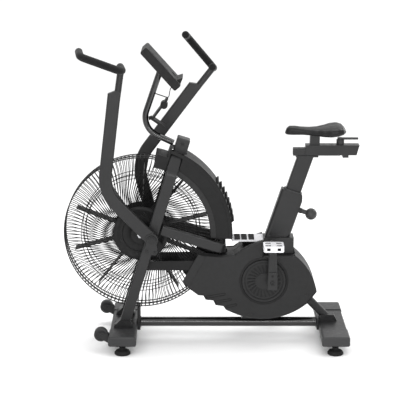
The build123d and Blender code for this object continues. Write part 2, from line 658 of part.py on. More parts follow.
for name, side in (("left_pedal", LEFT), ("right_pedal", RIGHT)):
    end_x, end_z = CRANK[0], CRANK[1] - side * CRANK_LEN
    start_y = side * (CRANK_Y + CRANK_T + PEDAL_GAP)
    low, high = sorted((start_y, start_y + side * PEDAL_LEN))
    middle = (low + high) / 2
    with BuildPart() as pedal:
        underside = Plane(origin=(end_x, middle, end_z - PEDAL_T / 2), x_dir=(1, 0, 0), z_dir=(0, 0, 1))
        with BuildSketch(underside):
            RectangleRounded(PEDAL_W, PEDAL_LEN, 12)
            for x in (-1, 1):
                for y in (-1, 1):
                    with Locations((x * 24, y * 20)):
                        RectangleRounded(24, 24, 4, mode=Mode.SUBTRACT)
        extrude(amount=PEDAL_T)
        for x in (-1, 1):
            plate([(end_x + x * 15, end_z - 6), (end_x + x * 30, end_z - 6), (end_x + x * 30, end_z + 6),
                   (end_x + x * 15, end_z + 6)], low - 1, high + 1, mode=Mode.SUBTRACT)
        disc((end_x, end_z), SPINDLE_R + FIT, *sorted((start_y - side, start_y + side * (PEDAL_LEN - 6))),
             mode=Mode.SUBTRACT)
    finish(pedal, name)

# ---------------------------------------------------------------- swinging arms
PIN_R = 10.0
FRAME_FACE = SIDE_Y + SIDE_T / 2
PLATE_Y = (ARM_Y + 24, ARM_Y + 29)
ELBOW = (-462.0, 704.0)
LEVER_TOP = (-410.5, 1129.0)
POST_LOW = (-401.0, 1097.0)
POST_HIGH = (-380.0, 1240.0)
GRIP_R = 16.5
GRIP_IN, GRIP_OUT = 122.0, 212.0

with BuildPart() as pivot_pins:
    for side in (LEFT, RIGHT):
        low, high = sorted((side * (FRAME_FACE + 0.1), side * (PLATE_Y[1] + 1)))
        disc(PIVOT, PIN_R, low, high)
        low, high = sorted((side * (PLATE_Y[1] + 1), side * (PLATE_Y[1] + 5)))
        disc(PIVOT, 15, low, high)
finish(pivot_pins, "pivot_pins")

PLATE_FEET = ((-277.0, 446.0), (-243.0, 440.0))
with BuildPart() as pivot_plates:
    for side in (LEFT, RIGHT):
        low, high = sorted((side * PLATE_Y[0], side * PLATE_Y[1]))
        with BuildSketch(side_plane(high)) as outline:
            with Locations(PIVOT):
                Circle(20)
            with Locations(*PLATE_FEET):
                Circle(11)
            make_hull()
            with Locations(PIVOT):
                Circle(PIN_R, mode=Mode.SUBTRACT)
        extrude(outline.sketch, amount=high - low)
        low, high = sorted((side * (FRAME_FACE + 0.1), side * PLATE_Y[0]))
        for foot in PLATE_FEET:
            disc(foot, 9, low, high)
finish(pivot_plates, "pivot_plates")

for prefix, side in (("left", LEFT), ("right", RIGHT)):
    y = side * ARM_Y
    swing = 0 if side == LEFT else ARM_SWING
    hinge = Axis(at(PIVOT, 0), (0, 1, 0))
    with BuildPart(mode=Mode.PRIVATE) as arm_form:
        low = at(along(PIVOT, 134.5, 14), y)
        elbow = at(ELBOW, y)
        top = at(LEVER_TOP, y)
        with BuildLine() as route:
            FilletPolyline(low, elbow, top, radius=172)
        with BuildSketch(Plane(origin=low, x_dir=(0, 1, 0), z_dir=elbow - low)) as section:
            RectangleRounded(ARM_T, ARM_W, 7)
            RectangleRounded(ARM_T - 2 * WALL, ARM_W - 2 * WALL, 5, mode=Mode.SUBTRACT)
        sweep(section.sketch, path=route.wire())
        lever_angle = degrees(atan2(LEVER_TOP[1] - ELBOW[1], LEVER_TOP[0] - ELBOW[0]))
        cap = LEVER_TOP
        tip = along(cap, lever_angle, 17)
        slanted_end = [along(cap, lever_angle + 90, ARM_W / 2), along(tip, lever_angle - 90, 4),
                       along(tip, lever_angle - 90, ARM_W / 2 - 1), along(cap, lever_angle - 90, ARM_W / 2)]
        plate(slanted_end, y - ARM_T / 2, y + ARM_T / 2)
        plate([along(cap, lever_angle + 90, ARM_W / 2), along(cap, lever_angle - 90, ARM_W / 2),
               along(along(cap, lever_angle, -3), lever_angle - 90, ARM_W / 2),
               along(along(cap, lever_angle, -3), lever_angle + 90, ARM_W / 2)],
              y - ARM_T / 2 + 1, y + ARM_T / 2 - 1)
        round_bar(at(POST_LOW, y), at(POST_HIGH, y), 14.5)
        disc(PIVOT, 28, y - 20, y + 20)
        disc(PIVOT, PIN_R + FIT, y - 21, y + 21, mode=Mode.SUBTRACT)
    arm_solid = arm_form.part.rotate(hinge, swing)
    with BuildPart() as arm:
        add(arm_solid)
    finish(arm, f"{prefix}_arm")

    with BuildPart(mode=Mode.PRIVATE) as grip_form:
        with BuildLine() as route:
            FilletPolyline(Vector(-386, side * GRIP_IN, 1245), Vector(-369, side * GRIP_OUT, 1233),
                           Vector(-546, side * GRIP_OUT, 1297), Vector(-559, side * GRIP_IN, 1309), radius=26)
        start = route.wire() @ 0
        with BuildSketch(Plane(origin=start, z_dir=route.wire() % 0)) as section:
            Circle(GRIP_R)
        sweep(section.sketch, path=route.wire())
        ends = grip_form.faces().filter_by(GeomType.PLANE).edges()
        fillet(ends, 9)
        round_bar(at(POST_LOW, y), at(POST_HIGH, y), 14.5, mode=Mode.SUBTRACT)
    with BuildPart() as grip:
        add(grip_form.part.rotate(hinge, swing))
    finish(grip, f"{prefix}_grip")

# ---------------------------------------------------------------- console
FACE_ANGLE = -48.0          # the display's face runs down towards the rider
TUBE_R = 13.5
SCREEN = (128.0, 160.0)
with BuildPart() as console_tube:
    with BuildLine() as route:
        FilletPolyline(Vector(-163, 0, 893), Vector(-306, 0, 960), Vector(-221, 0, 1205), radius=88)
    start = route.wire() @ 0
    with BuildSketch(Plane(origin=start, z_dir=route.wire() % 0)) as section:
        Circle(TUBE_R)
        Circle(TUBE_R - 2, mode=Mode.SUBTRACT)
    sweep(section.sketch, path=route.wire())
finish(console_tube, "console_tube")

FACE_MID = along(CONSOLE, FACE_ANGLE + 90, CONSOLE_T / 2)
KEY_AT = along(FACE_MID, FACE_ANGLE, 60)
FACE_NORMAL = Vector(cos(radians(FACE_ANGLE + 90)), 0, sin(radians(FACE_ANGLE + 90)))


def face_plane(point, height=0.0):
    """A plane on the display's face: local x runs down the face, local y is -Y."""
    down = Vector(cos(radians(FACE_ANGLE)), 0, sin(radians(FACE_ANGLE)))
    return Plane(origin=at(point, 0) + FACE_NORMAL * height, x_dir=down, z_dir=FACE_NORMAL)


with BuildPart() as console_body:
    with BuildSketch(side_plane(CONSOLE_WIDE / 2)) as outline:
        with Locations(CONSOLE):
            RectangleRounded(CONSOLE_LEN, CONSOLE_T, 9, rotation=FACE_ANGLE)
    extrude(outline.sketch, amount=CONSOLE_WIDE)
    fillet(console_body.edges().filter_by(GeomType.LINE).filter_by(Axis.Y, reverse=True), 6)
    lip_root = along(FACE_MID, FACE_ANGLE, 96)
    plate([along(lip_root, FACE_ANGLE, -14), along(along(lip_root, FACE_ANGLE, -4), FACE_ANGLE + 90, 22),
           along(along(lip_root, FACE_ANGLE, -1), FACE_ANGLE + 90, 22), along(lip_root, FACE_ANGLE, 9),
           along(lip_root, FACE_ANGLE - 90, 8), along(along(lip_root, FACE_ANGLE, -14), FACE_ANGLE - 90, 8)],
          -70, 70)
    with BuildSketch(face_plane(FACE_MID, -3)) as recess:
        with Locations((-30, 0)):
            RectangleRounded(SCREEN[0], SCREEN[1], 6)
    extrude(recess.sketch, amount=6, mode=Mode.SUBTRACT)
    with BuildSketch(face_plane(KEY_AT, -7)) as well:
        Circle(11.4)
    extrude(well.sketch, amount=12, mode=Mode.SUBTRACT)
    round_bar(at((-255, 1107), 0), at((-221, 1205), 0), TUBE_R, mode=Mode.SUBTRACT)
finish(console_body, "console_body")

with BuildPart() as console_screen:
    with BuildSketch(face_plane(FACE_MID, -3)) as glass:
        with Locations((-30, 0)):
            RectangleRounded(SCREEN[0] - 0.6, SCREEN[1] - 0.6, 5.7)
    extrude(glass.sketch, amount=3.6)
finish(console_screen, "console_screen")

with BuildPart() as start_key:
    with BuildSketch(face_plane(KEY_AT, -4.5)) as cap:
        Circle(11)
    extrude(cap.sketch, amount=6.5)
    fillet(start_key.edges().filter_by(GeomType.CIRCLE).sort_by(Axis.Z)[-1], 1)
finish(start_key, "start_key")

# Bottle holder: an inclined back plate with a shelf, braced to the console tube.
HOLDER_TOP = (-192.0, 1092.0)
HOLDER_LOW = (-260.0, 1001.0)
HOLDER_END = (-204.0, 962.0)
HOLDER_T = 9.0
HOLDER_HALF = 34.0          # half width of the holder
with BuildPart() as bottle_holder:
    back_angle = degrees(atan2(HOLDER_TOP[1] - HOLDER_LOW[1], HOLDER_TOP[0] - HOLDER_LOW[0]))
    back = [HOLDER_LOW, HOLDER_TOP, along(HOLDER_TOP, back_angle - 90, HOLDER_T),
            along(HOLDER_LOW, back_angle - 90, HOLDER_T)]
    plate(back, -HOLDER_HALF, HOLDER_HALF)
    shelf = [HOLDER_LOW, HOLDER_END, along(HOLDER_END, back_angle, HOLDER_T),
             along(HOLDER_LOW, back_angle, HOLDER_T)]
    plate(shelf, -HOLDER_HALF, HOLDER_HALF)
    disc((-203, 1062), 16, -26, 26)
    plate([(-271, 1008), (-258, 1012), (-252, 1002), (-268, 994)], -12, 12)
    round_bar((-239.6, 0, 1109.9), (-193, 0, 1094), 2.2)
finish(bottle_holder, "bottle_holder")

CABLE_R = 1.8
CABLE_ROUTE = ((-164.3, 0, 1143.1), (-174.7, 0, 1133.7), (-179, 0, 1114), (-181.2, 0, 1098.9),
               (-188.3, 0, 1089.5))


def cord_radii(points):
    """The largest even arc at each corner of a cord's route."""
    radii = []
    for before, corner, after in zip(points, points[1:], points[2:]):
        arriving = Vector(corner) - Vector(before)
        leaving = Vector(after) - Vector(corner)
        turn = radians(arriving.get_angle(leaving))
        radii.append(0.45 * min(arriving.length, leaving.length) / tan(turn / 2))
    return radii


with BuildPart() as console_cable:
    radii = cord_radii(CABLE_ROUTE)
    print("console_cable arc radii", [round(radius, 1) for radius in radii])
    with BuildLine() as route:
        FilletPolyline(*CABLE_ROUTE, radius=radii)
    start = route.wire() @ 0
    with BuildSketch(Plane(origin=start, z_dir=route.wire() % 0)) as section:
        Circle(CABLE_R)
    sweep(section.sketch, path=route.wire())
finish(console_cable, "console_cable")

# ---------------------------------------------------------------- seat
SEAT_DIR = Vector(cos(radians(SEAT_AXIS)), 0, sin(radians(SEAT_AXIS)))
BACK_DIR = Vector(sin(radians(SEAT_AXIS)), 0, -cos(radians(SEAT_AXIS)))
CHAMBER_W, CHAMBER_D = 76.0, 56.0
PIN_DOWN = 72.6             # the pull pin's distance below the collar
SLOT_W, SLOT_D = 14.0, 8.0
POST_TRAVEL = (-100.0, 50.0)


def seat_point(up, back=0.0):
    """A point on the seat tube's axis, counted from its top, and moved back from it."""
    return at(SEAT_TOP, 0) + SEAT_DIR * up + BACK_DIR * back


def seat_section(up, deep, wide, radius, length, mode=Mode.ADD):
    """A stretch of the seat tube's section."""
    with BuildSketch(Plane(origin=seat_point(up), x_dir=(0, 1, 0), z_dir=SEAT_DIR)) as section:
        RectangleRounded(deep, wide, radius)
    extrude(section.sketch, amount=length, mode=mode)


with BuildPart() as seat_tube:
    seat_section(-TUBE_LEN, SLEEVE_D, SLEEVE_W, 16, TUBE_LEN)
    seat_section(-TUBE_LEN - 1, CHAMBER_D, CHAMBER_W, 12, TUBE_LEN + 2, mode=Mode.SUBTRACT)
    half = SLEEVE_W / 2
    corner = [seat_point(2, half - 11), seat_point(2, half + 5), seat_point(-30, half + 5),
              seat_point(-30, half)]
    plate([(p.X, p.Z) for p in corner], -40, 40, mode=Mode.SUBTRACT)
    round_bar(seat_point(-PIN_DOWN, half - 4), seat_point(-PIN_DOWN, half + 14), 12)
    round_bar(seat_point(-PIN_DOWN, 0), seat_point(-PIN_DOWN, half + 20), 6.05, mode=Mode.SUBTRACT)
finish(seat_tube, "seat_tube")

with BuildPart() as seat_collar:
    seat_section(-150, CHAMBER_D - 0.2, CHAMBER_W - 0.2, 11.9, 150)
    seat_section(0.1, SLEEVE_D - 4, SLEEVE_W - 26, 14, 6)
    seat_section(-1, CHAMBER_D - 4, CHAMBER_W - 4, 9, 3)
    seat_section(-151, POST_D + 0.6, POST_W + 0.6, 8.3, 170, mode=Mode.SUBTRACT)
    round_bar(seat_point(-PIN_DOWN, 20), seat_point(-PIN_DOWN, 60), 6.4, mode=Mode.SUBTRACT)
finish(seat_collar, "seat_collar")

with BuildPart() as pop_pin:
    tip = POST_W / 2 - SLOT_D + 1.5
    round_bar(seat_point(-PIN_DOWN, tip), seat_point(-PIN_DOWN, 90), 6)
    round_bar(seat_point(-PIN_DOWN, half + 14.5), seat_point(-PIN_DOWN, 90), 10)
    with Locations(Location(seat_point(-PIN_DOWN, 110.7))):
        Sphere(26)
finish(pop_pin, "pop_pin")

INNER_TOP = 871.0
with BuildPart() as seat_post:
    seat_section(-POST_END, POST_D, POST_W, 8, POST_END + 200)
    seat_section(-POST_END - 1, POST_D - 6, POST_W - 2 * SLOT_D - 6, 4, POST_END + 160, mode=Mode.SUBTRACT)
    slot_low, slot_high = -PIN_DOWN - POST_TRAVEL[1] - 8, -PIN_DOWN - POST_TRAVEL[0] + 8
    with BuildSketch(Plane(origin=seat_point(slot_low, POST_W / 2 - SLOT_D / 2), x_dir=(0, 1, 0),
                           z_dir=SEAT_DIR)) as groove:
        Rectangle(SLOT_W, SLOT_D)
    extrude(groove.sketch, amount=slot_high - slot_low, mode=Mode.SUBTRACT)
    plate([(300, 838), (600, 838), (600, 1000), (300, 1000)], -60, 60, mode=Mode.SUBTRACT)
    plate([(372, 831), (470, 831), (470, 838), (378, 838)], -19, 19)
finish(seat_post, "seat_post")

RAIL_BOTTOM = 838.2
with BuildPart() as slider_rail:
    front_end = Plane(origin=(360, 0, (RAIL_BOTTOM + INNER_TOP) / 2), x_dir=(0, 1, 0), z_dir=(1, 0, 0))
    with BuildSketch(front_end) as section:
        RectangleRounded(42, INNER_TOP - RAIL_BOTTOM, 5)
        RectangleRounded(36, INNER_TOP - RAIL_BOTTOM - 6, 3, mode=Mode.SUBTRACT)
    extrude(section.sketch, amount=205)
finish(slider_rail, "slider_rail")

LEVER_AT = (566.0, 0.0)
CLAMP_BLOCK = ((433, SLIDE_Z[1] - 1), (475, SLIDE_Z[1] - 1), (475, 930), (433, 934))
CLAMP_HALF = 20.0
with BuildPart() as saddle_carriage:
    low_x, high_x = SLIDE_X
    sleeve = [(low_x, SLIDE_Z[0]), (high_x - 12, SLIDE_Z[0]), (high_x, SLIDE_Z[1]), (low_x, SLIDE_Z[1])]
    plate(sleeve, -26, 26)
    plate([(low_x - 1, SLIDE_Z[0] - 1), (high_x - 20, SLIDE_Z[0] - 1), (high_x - 20, INNER_TOP + 0.5),
           (low_x - 1, INNER_TOP + 0.5)], -21.5, 21.5, mode=Mode.SUBTRACT)
    plate(CLAMP_BLOCK, -CLAMP_HALF, CLAMP_HALF)
    for side in (LEFT, RIGHT):
        low, high = sorted((side * 21.5, side * 26))
        plate([(576, SLIDE_Z[0] + 1), (601, SLIDE_Z[0] + 1), (601, 831), (576, 831)], low, high)
    plate([(576, 831), (601, 831), (601, 837), (576, 837)], -26, 26)
    round_bar((LEVER_AT[0], LEVER_AT[1], SLIDE_Z[1] - 1), (LEVER_AT[0], LEVER_AT[1], 912), 6)
finish(saddle_carriage, "saddle_carriage")

with BuildPart() as clamp_lever:
    round_bar((LEVER_AT[0], 0, SLIDE_Z[1] + 0.4), (LEVER_AT[0], 0, 908), 17)
    round_bar((LEVER_AT[0], 0, 907), (LEVER_AT[0], 0, 916), 13)
    with BuildSketch(Plane.XY.offset(908)) as handle:
        with Locations((LEVER_AT[0] + 34, 0)):
            SlotOverall(88, 15)
    extrude(handle.sketch, amount=8)
    round_bar((LEVER_AT[0], 0, SLIDE_Z[1]), (LEVER_AT[0], 0, 912.2), 6 + FIT, mode=Mode.SUBTRACT)
finish(clamp_lever, "clamp_lever")

SADDLE_X = (324.0, 588.0)
with BuildPart() as saddle:
    with BuildSketch(Plane.XY.offset(895)) as seat_shape:
        with BuildLine():
            nose = (SADDLE_X[0], 0)
            tail = (SADDLE_X[1] - 4, 0)
            right_edge = Spline(nose, (338, 24), (400, 31), (470, 58), (530, 98), (572, 84), tail,
                                tangents=((0, 1), (-0.2, -1)))
            mirror(right_edge, about=Plane.XZ)
        make_face()
    extrude(seat_shape.sketch, amount=100)
    with BuildSketch(side_plane(130)) as profile:
        with BuildLine():
            crown = Spline((325, 942), (350, 968), (453, 961), (545, 979), (587, 946))
            belly = Spline((587, 946), (560, 930), (498, 920), (406, 931), (334, 933))
            Line(belly @ 1, crown @ 0)
        make_face()
    extrude(profile.sketch, amount=260, mode=Mode.INTERSECT)
    # pocket for the clamp block of the carriage
    plate([(432.8, 880), (475.2, 880), (475.2, 930.2), (432.8, 934.2)], -CLAMP_HALF - 0.2, CLAMP_HALF + 0.2,
          mode=Mode.SUBTRACT)
finish(saddle, "saddle")

# ---------------------------------------------------------------- visible bolts
with BuildPart() as bolts:
    for side in (LEFT, RIGHT):
        face = side * PLATE_Y[1]
        low, high = sorted((face + side * 0.05, face + side * 4))
        for foot in PLATE_FEET:
            disc(foot, 7, low, high)
        face = side * (COVER_OUT - 2)
        low, high = sorted((face, face + side * 4))
        for screw in COVER_SCREWS:
            disc(screw, SCREW_R, low, high)
finish(bolts, "bolts")
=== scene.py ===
import json
from math import atan2, cos, pi, radians, sin

import bmesh
import bpy
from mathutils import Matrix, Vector


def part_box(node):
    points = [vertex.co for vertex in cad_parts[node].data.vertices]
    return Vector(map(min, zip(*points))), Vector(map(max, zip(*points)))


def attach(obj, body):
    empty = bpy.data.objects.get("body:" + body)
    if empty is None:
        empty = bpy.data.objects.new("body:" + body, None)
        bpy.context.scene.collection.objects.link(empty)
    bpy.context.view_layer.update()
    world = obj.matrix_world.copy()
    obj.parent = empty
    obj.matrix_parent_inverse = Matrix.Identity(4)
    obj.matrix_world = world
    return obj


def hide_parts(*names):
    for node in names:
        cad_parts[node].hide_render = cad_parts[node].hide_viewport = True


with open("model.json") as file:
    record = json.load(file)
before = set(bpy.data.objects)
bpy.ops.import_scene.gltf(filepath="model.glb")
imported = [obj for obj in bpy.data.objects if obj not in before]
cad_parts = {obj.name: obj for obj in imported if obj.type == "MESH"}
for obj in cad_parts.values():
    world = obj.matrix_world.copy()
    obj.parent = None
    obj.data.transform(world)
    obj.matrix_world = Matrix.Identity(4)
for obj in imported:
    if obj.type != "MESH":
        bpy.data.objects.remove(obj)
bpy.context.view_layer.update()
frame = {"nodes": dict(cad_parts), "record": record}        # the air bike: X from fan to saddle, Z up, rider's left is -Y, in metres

LEFT, RIGHT = -1, 1
SIDES = {"left": LEFT, "right": RIGHT}


def middle(node):
    """The centre of a CAD node's box."""
    low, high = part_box(node)
    return Vector([(a + b) / 2 for a, b in zip(low, high)])


FAN = middle("fan_pulley")
CRANK = middle("drive_pulley")
GUARD_R = (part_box("left_cage")[1][0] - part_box("left_cage")[0][0]) / 2


# ---------------------------------------------------------------- camera, floor and light
CAMERA_PLACE = (-0.047, -6.034, 2.062)
CAMERA_TILT = 76.7             # degrees up from straight down
SENSOR_WIDTH = 36              # mm
LENS = 126.45                  # mm
FLOOR_REACH = 60
FLOOR_COLOUR = (0.93, 0.93, 0.93, 1)
SKY_LOW = (-0.1, 0.62)         # height of the view direction, and the sky's strength there
SKY_HIGH = (0.8, 1.25)
# name, place, the point that it faces, width and height, power in watts
SOFT_BOXES = (("key", (-2.2, -3.2, 3.4), (0, 0, 0.6), (1.6, 1.6), 30),
              ("top", (0.2, 0.4, 3.6), (0, 0, 0.6), (2.6, 1.2), 40),
              ("rim", (2.6, 2.4, 2.2), (0, 0, 0.7), (1.0, 2.0), 40),
              ("strip", (0, -4.3, 1.42), (0, 0, 0.1), (3.6, 0.16), 45))


def aim_camera():
    """A long lens at the side, a little above the bike."""
    data = bpy.data.cameras.new("camera")
    data.sensor_width = SENSOR_WIDTH
    data.lens = LENS
    camera = bpy.data.objects.new("camera", data)
    camera.location = CAMERA_PLACE
    camera.rotation_euler = (radians(CAMERA_TILT), 0, 0)
    bpy.context.collection.objects.link(camera)
    bpy.context.scene.camera = camera


def lay_floor():
    """A large pale floor."""
    reach = FLOOR_REACH
    mesh = bpy.data.meshes.new("floor")
    mesh.from_pydata([(-reach, -reach, 0), (reach, -reach, 0), (reach, reach, 0), (-reach, reach, 0)],
                     [], [(0, 1, 2, 3)])
    floor = bpy.data.objects.new("floor", mesh)
    bpy.context.collection.objects.link(floor)
    paint = bpy.data.materials.new("floor_paint")
    paint.use_nodes = True
    shader = paint.node_tree.nodes["Principled BSDF"]
    shader.inputs["Base Color"].default_value = FLOOR_COLOUR
    shader.inputs["Roughness"].default_value = 0.9
    shader.inputs["Specular IOR Level"].default_value = 0.1
    mesh.materials.append(paint)


def soft_box(name, place, target, size, power):
    """A rectangular area light that points at target."""
    data = bpy.data.lights.new(name, "AREA")
    data.shape = "RECTANGLE"
    data.size, data.size_y = size
    data.energy = power
    lamp = bpy.data.objects.new(name, data)
    lamp.location = place
    lamp.rotation_euler = (Vector(target) - Vector(place)).to_track_quat("-Z", "Y").to_euler()
    bpy.context.collection.objects.link(lamp)


def light_studio():
    """A pale sky that is brighter overhead, and soft boxes that draw lines on the tubes."""
    world = bpy.data.worlds.new("studio")
    world.use_nodes = True
    nodes, links = world.node_tree.nodes, world.node_tree.links
    view = nodes.new("ShaderNodeTexCoord")
    parts = nodes.new("ShaderNodeSeparateXYZ")
    height = nodes.new("ShaderNodeMapRange")
    height.inputs["From Min"].default_value, height.inputs["To Min"].default_value = SKY_LOW
    height.inputs["From Max"].default_value, height.inputs["To Max"].default_value = SKY_HIGH
    links.new(view.outputs["Generated"], parts.inputs[0])
    links.new(parts.outputs["Z"], height.inputs["Value"])
    links.new(height.outputs["Result"], nodes["Background"].inputs["Strength"])
    nodes["Background"].inputs["Color"].default_value = (1, 1, 1, 1)
    bpy.context.scene.world = world
    bpy.context.scene.view_settings.view_transform = "Standard"
    for name, place, target, size, power in SOFT_BOXES:
        soft_box(name, place, target, size, power)


# ---------------------------------------------------------------- materials
CLOUD_SCALE = 7                # noise scales, for colour and for gloss
GLOSS_SCALE = 60
NOISE_RANGE = (0.3, 0.7)       # where most values of the noise lie
GLOSS_SPREAD = 0.07
LEAST_ROUGHNESS = 0.03
COAT_ROUGHNESS = 0.12
FLECK_SCALE = 0.6              # a share of the grain's scale
FLECK_RANGE = (0.62, 0.75)
FLECK_GAIN, FLECK_LIFT = 2.2, 0.02
SPECK_STRENGTH = 4
GRAIN_DETAIL = 5.0
RELIEF_STRENGTH = 0.5


def material(name, colour, rough, grain=900, depth=0.0002, pattern="noise", spread=0.14, specks=0.05,
             stretch=(1, 1, 1), metallic=0.0, coat=0.0, sheen=0.0, specular=0.5):
    """A procedural finish: cloudy colour, fine specks, uneven gloss and a small relief."""
    result = bpy.data.materials.new(name)
    result.use_nodes = True
    nodes, links = result.node_tree.nodes, result.node_tree.links
    shader = nodes["Principled BSDF"]
    shader.inputs["Metallic"].default_value = metallic
    shader.inputs["Coat Weight"].default_value = coat
    shader.inputs["Coat Roughness"].default_value = COAT_ROUGHNESS
    shader.inputs["Sheen Weight"].default_value = sheen
    shader.inputs["Specular IOR Level"].default_value = specular
    place = nodes.new("ShaderNodeTexCoord")
    mapping = nodes.new("ShaderNodeMapping")
    mapping.inputs["Scale"].default_value = stretch
    links.new(place.outputs["Object"], mapping.inputs["Vector"])

    def noise(scale, detail=3.0):
        texture = nodes.new("ShaderNodeTexNoise")
        texture.inputs["Scale"].default_value = scale
        texture.inputs["Detail"].default_value = detail
        links.new(mapping.outputs["Vector"], texture.inputs["Vector"])
        return texture.outputs["Fac"]

    def remap(value, low, high, out_low, out_high):
        node = nodes.new("ShaderNodeMapRange")
        ends = (("From Min", low), ("From Max", high), ("To Min", out_low), ("To Max", out_high))
        for socket, number in ends:
            node.inputs[socket].default_value = number
        links.new(value, node.inputs["Value"])
        return node.outputs["Result"]

    def blend(factor, first, second):
        node = nodes.new("ShaderNodeMix")
        node.data_type = "RGBA"
        links.new(factor, node.inputs["Factor"])
        for socket, source in (("A", first), ("B", second)):
            target = [i for i in node.inputs if i.name == socket and i.type == "RGBA"][0]
            if isinstance(source, bpy.types.NodeSocket):
                links.new(source, target)
            else:
                target.default_value = (*source, 1)
        return [o for o in node.outputs if o.type == "RGBA"][0]

    darker = [c * (1 - spread) for c in colour]
    lighter = [min(1, c * (1 + spread)) for c in colour]
    speck = [min(1, c * FLECK_GAIN + FLECK_LIFT) for c in colour]
    cloudy = blend(remap(noise(CLOUD_SCALE), *NOISE_RANGE, 0, 1), darker, lighter)
    flecks = remap(noise(grain * FLECK_SCALE), *FLECK_RANGE, 0, specks * SPECK_STRENGTH)
    flecked = blend(flecks, cloudy, speck)
    links.new(flecked, shader.inputs["Base Color"])
    glossy, matt = max(LEAST_ROUGHNESS, rough - GLOSS_SPREAD), min(1, rough + GLOSS_SPREAD)
    links.new(remap(noise(GLOSS_SCALE), *NOISE_RANGE, glossy, matt), shader.inputs["Roughness"])
    if pattern == "cells":
        cells = nodes.new("ShaderNodeTexVoronoi")
        cells.inputs["Scale"].default_value = grain
        links.new(mapping.outputs["Vector"], cells.inputs["Vector"])
        height = cells.outputs["Distance"]
    else:
        height = noise(grain, GRAIN_DETAIL)
    relief = nodes.new("ShaderNodeBump")
    relief.inputs["Strength"].default_value = RELIEF_STRENGTH
    relief.inputs["Distance"].default_value = depth
    links.new(height, relief.inputs["Height"])
    links.new(relief.outputs["Normal"], shader.inputs["Normal"])
    return result


def dark(value):
    """A neutral grey that is a touch cold."""
    return value, value, value * 1.03


def make_materials():
    """One finish for each material slot of the record."""
    return {
        "frame_paint": material("powder_coat", dark(0.013), 0.36, grain=1100, depth=0.00015, specular=0.36),
        "gloss_tube": material("gloss_paint", dark(0.005), 0.16, grain=300, depth=0.00003, coat=0.6),
        "guard_wire": material("coated_wire", dark(0.004), 0.4, grain=1500, depth=0.00008, specular=0.25),
        "fan_paint": material("fan_paint", dark(0.005), 0.5, grain=900, specular=0.25),
        "cap_plastic": material("cap_plastic", dark(0.030), 0.42, grain=800, pattern="cells", specular=0.35),
        "cover_plastic": material("cover_plastic", dark(0.009), 0.5, grain=650, depth=0.00025,
                                  pattern="cells", specular=0.34),
        "shroud_plastic": material("shroud_plastic", dark(0.004), 0.5, grain=650, depth=0.00025,
                                   pattern="cells", specular=0.26),
        "screen": material("screen_glass", dark(0.004), 0.35, grain=40, depth=0.00001, specks=0,
                           specular=0.05),
        "grip_foam": material("grip_foam", dark(0.006), 0.85, grain=1300, depth=0.0006, pattern="cells",
                              sheen=0.1, specular=0.25),
        "saddle_skin": material("saddle_vinyl", dark(0.004), 0.44, grain=520, depth=0.0004, pattern="cells",
                                specular=0.32),
        "steel": material("ground_steel", dark(0.55), 0.3, grain=500, stretch=(1, 0.03, 1), metallic=1.0),
        "black_steel": material("black_oxide", dark(0.008), 0.35, grain=900, metallic=0.3),
        "pulley_metal": material("machined_metal", dark(0.5), 0.35, grain=500, stretch=(1, 0.05, 1),
                                 metallic=1.0),
        "pedal_metal": material("cast_metal", dark(0.78), 0.34, grain=700, depth=0.0002, spread=0.05,
                                specks=0.02, metallic=0.25),
        "rubber": material("black_rubber", dark(0.006), 0.75, grain=700, depth=0.0004, specular=0.3),
        "wheel_rubber": material("wheel_rubber", dark(0.02), 0.65, grain=600, depth=0.0003),
        "step_grey": material("step_plastic", dark(0.56), 0.5, grain=600, depth=0.0002, spread=0.04,
                              pattern="cells", specks=0.01),
    }


# ---------------------------------------------------------------- mesh helpers
MERGE_DISTANCE = 1e-6
SLIVER_LENGTH = 1e-7
SHARP_ANGLE = 38               # degrees between faces, above which an edge is drawn sharp
BEVEL_STEPS = 2
# a screw head's section, as shares of its radius and height
SCREW_SECTION = ((0, 0), (1.35, 0), (1.35, 0.22), (1, 0.25), (1, 0.72), (0.82, 1), (0.5, 1), (0.44, 0.5),
                 (0, 0.5))


class Shell:
    """Points and faces gathered for one piece."""

    def __init__(self):
        self.points = []
        self.faces = []

    def add(self, points, faces):
        start = len(self.points)
        self.points += [tuple(point) for point in points]
        self.faces += [[start + index for index in face] for face in faces]


def wire(shell, path, radius, sides=6, closed=False):
    """A round wire along a list of points."""
    path = [Vector(point) for point in path]
    count = len(path)
    points, faces = [], []
    across = None
    for index, point in enumerate(path):
        if closed:
            heading = path[(index + 1) % count] - path[index - 1]
        else:
            heading = path[min(index + 1, count - 1)] - path[max(index - 1, 0)]
        heading.normalize()
        if across is None:
            across = heading.orthogonal().normalized()
        across = (across - heading * across.dot(heading)).normalized()
        up = heading.cross(across)
        for k in range(sides):
            turn = 2 * pi * k / sides
            points.append(point + (across * cos(turn) + up * sin(turn)) * radius)
    for index in range(count if closed else count - 1):
        here, there = index * sides, (index + 1) % count * sides
        for k in range(sides):
            after = (k + 1) % sides
            faces.append([here + k, here + after, there + after, there + k])
    if not closed:
        faces.append(list(range(sides))[::-1])
        faces.append([(count - 1) * sides + k for k in range(sides)])
    shell.add(points, faces)


def lathe(shell, origin, axis, profile, steps=72):
    """Turns a closed (radius, height) profile about an axis through origin."""
    origin, axis = Vector(origin), Vector(axis).normalized()
    across = axis.orthogonal().normalized()
    up = axis.cross(across)
    points, faces = [], []
    for step in range(steps):
        turn = 2 * pi * step / steps
        out = across * cos(turn) + up * sin(turn)
        points += [origin + out * radius + axis * height for radius, height in profile]
    size = len(profile)
    for step in range(steps):
        here, there = step * size, (step + 1) % steps * size
        for k in range(size):
            after = (k + 1) % size
            faces.append([here + k, here + after, there + after, there + k])
    shell.add(points, faces)


